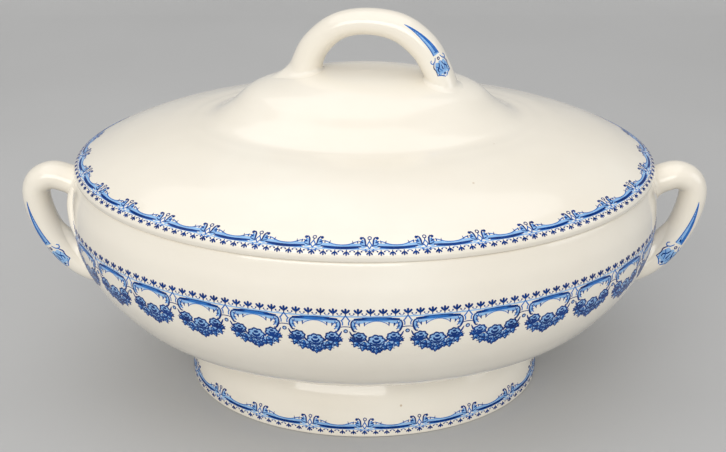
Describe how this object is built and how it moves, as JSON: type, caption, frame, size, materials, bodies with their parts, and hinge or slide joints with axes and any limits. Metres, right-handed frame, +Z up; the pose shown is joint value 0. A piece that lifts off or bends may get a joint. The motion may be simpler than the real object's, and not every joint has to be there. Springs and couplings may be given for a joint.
{
  "type": "oval soup tureen",
  "caption": "Oval glazed earthenware tureen on a flared pedestal foot, with loop side handles and a domed lift-off lid with an arched handle.",
  "frame": {"origin": "on the table surface, under the middle of the foot", "axes": "+X along the long axis from handle to handle, +Y across the oval, +Z up"},
  "size_m": [0.35, 0.231, 0.1965],
  "materials": {
    "ivory_glaze": "glossy clear lead glaze over cream earthenware",
    "blue_print": "cobalt transfer print under the clear glaze"
  },
  "bodies": {
    "tureen": {"bowl": "ivory_glaze", "foot": "ivory_glaze", "handle_left": "ivory_glaze", "handle_right": "ivory_glaze"},
    "cover": {"lid": "ivory_glaze", "lid_handle": "ivory_glaze"}
  },
  "joints": [
    {"name": "lid_lift", "type": "slide", "parent": "tureen", "child": "cover", "axis": [0, 0, 1], "range_m": [0, 0.12]}
  ]
}
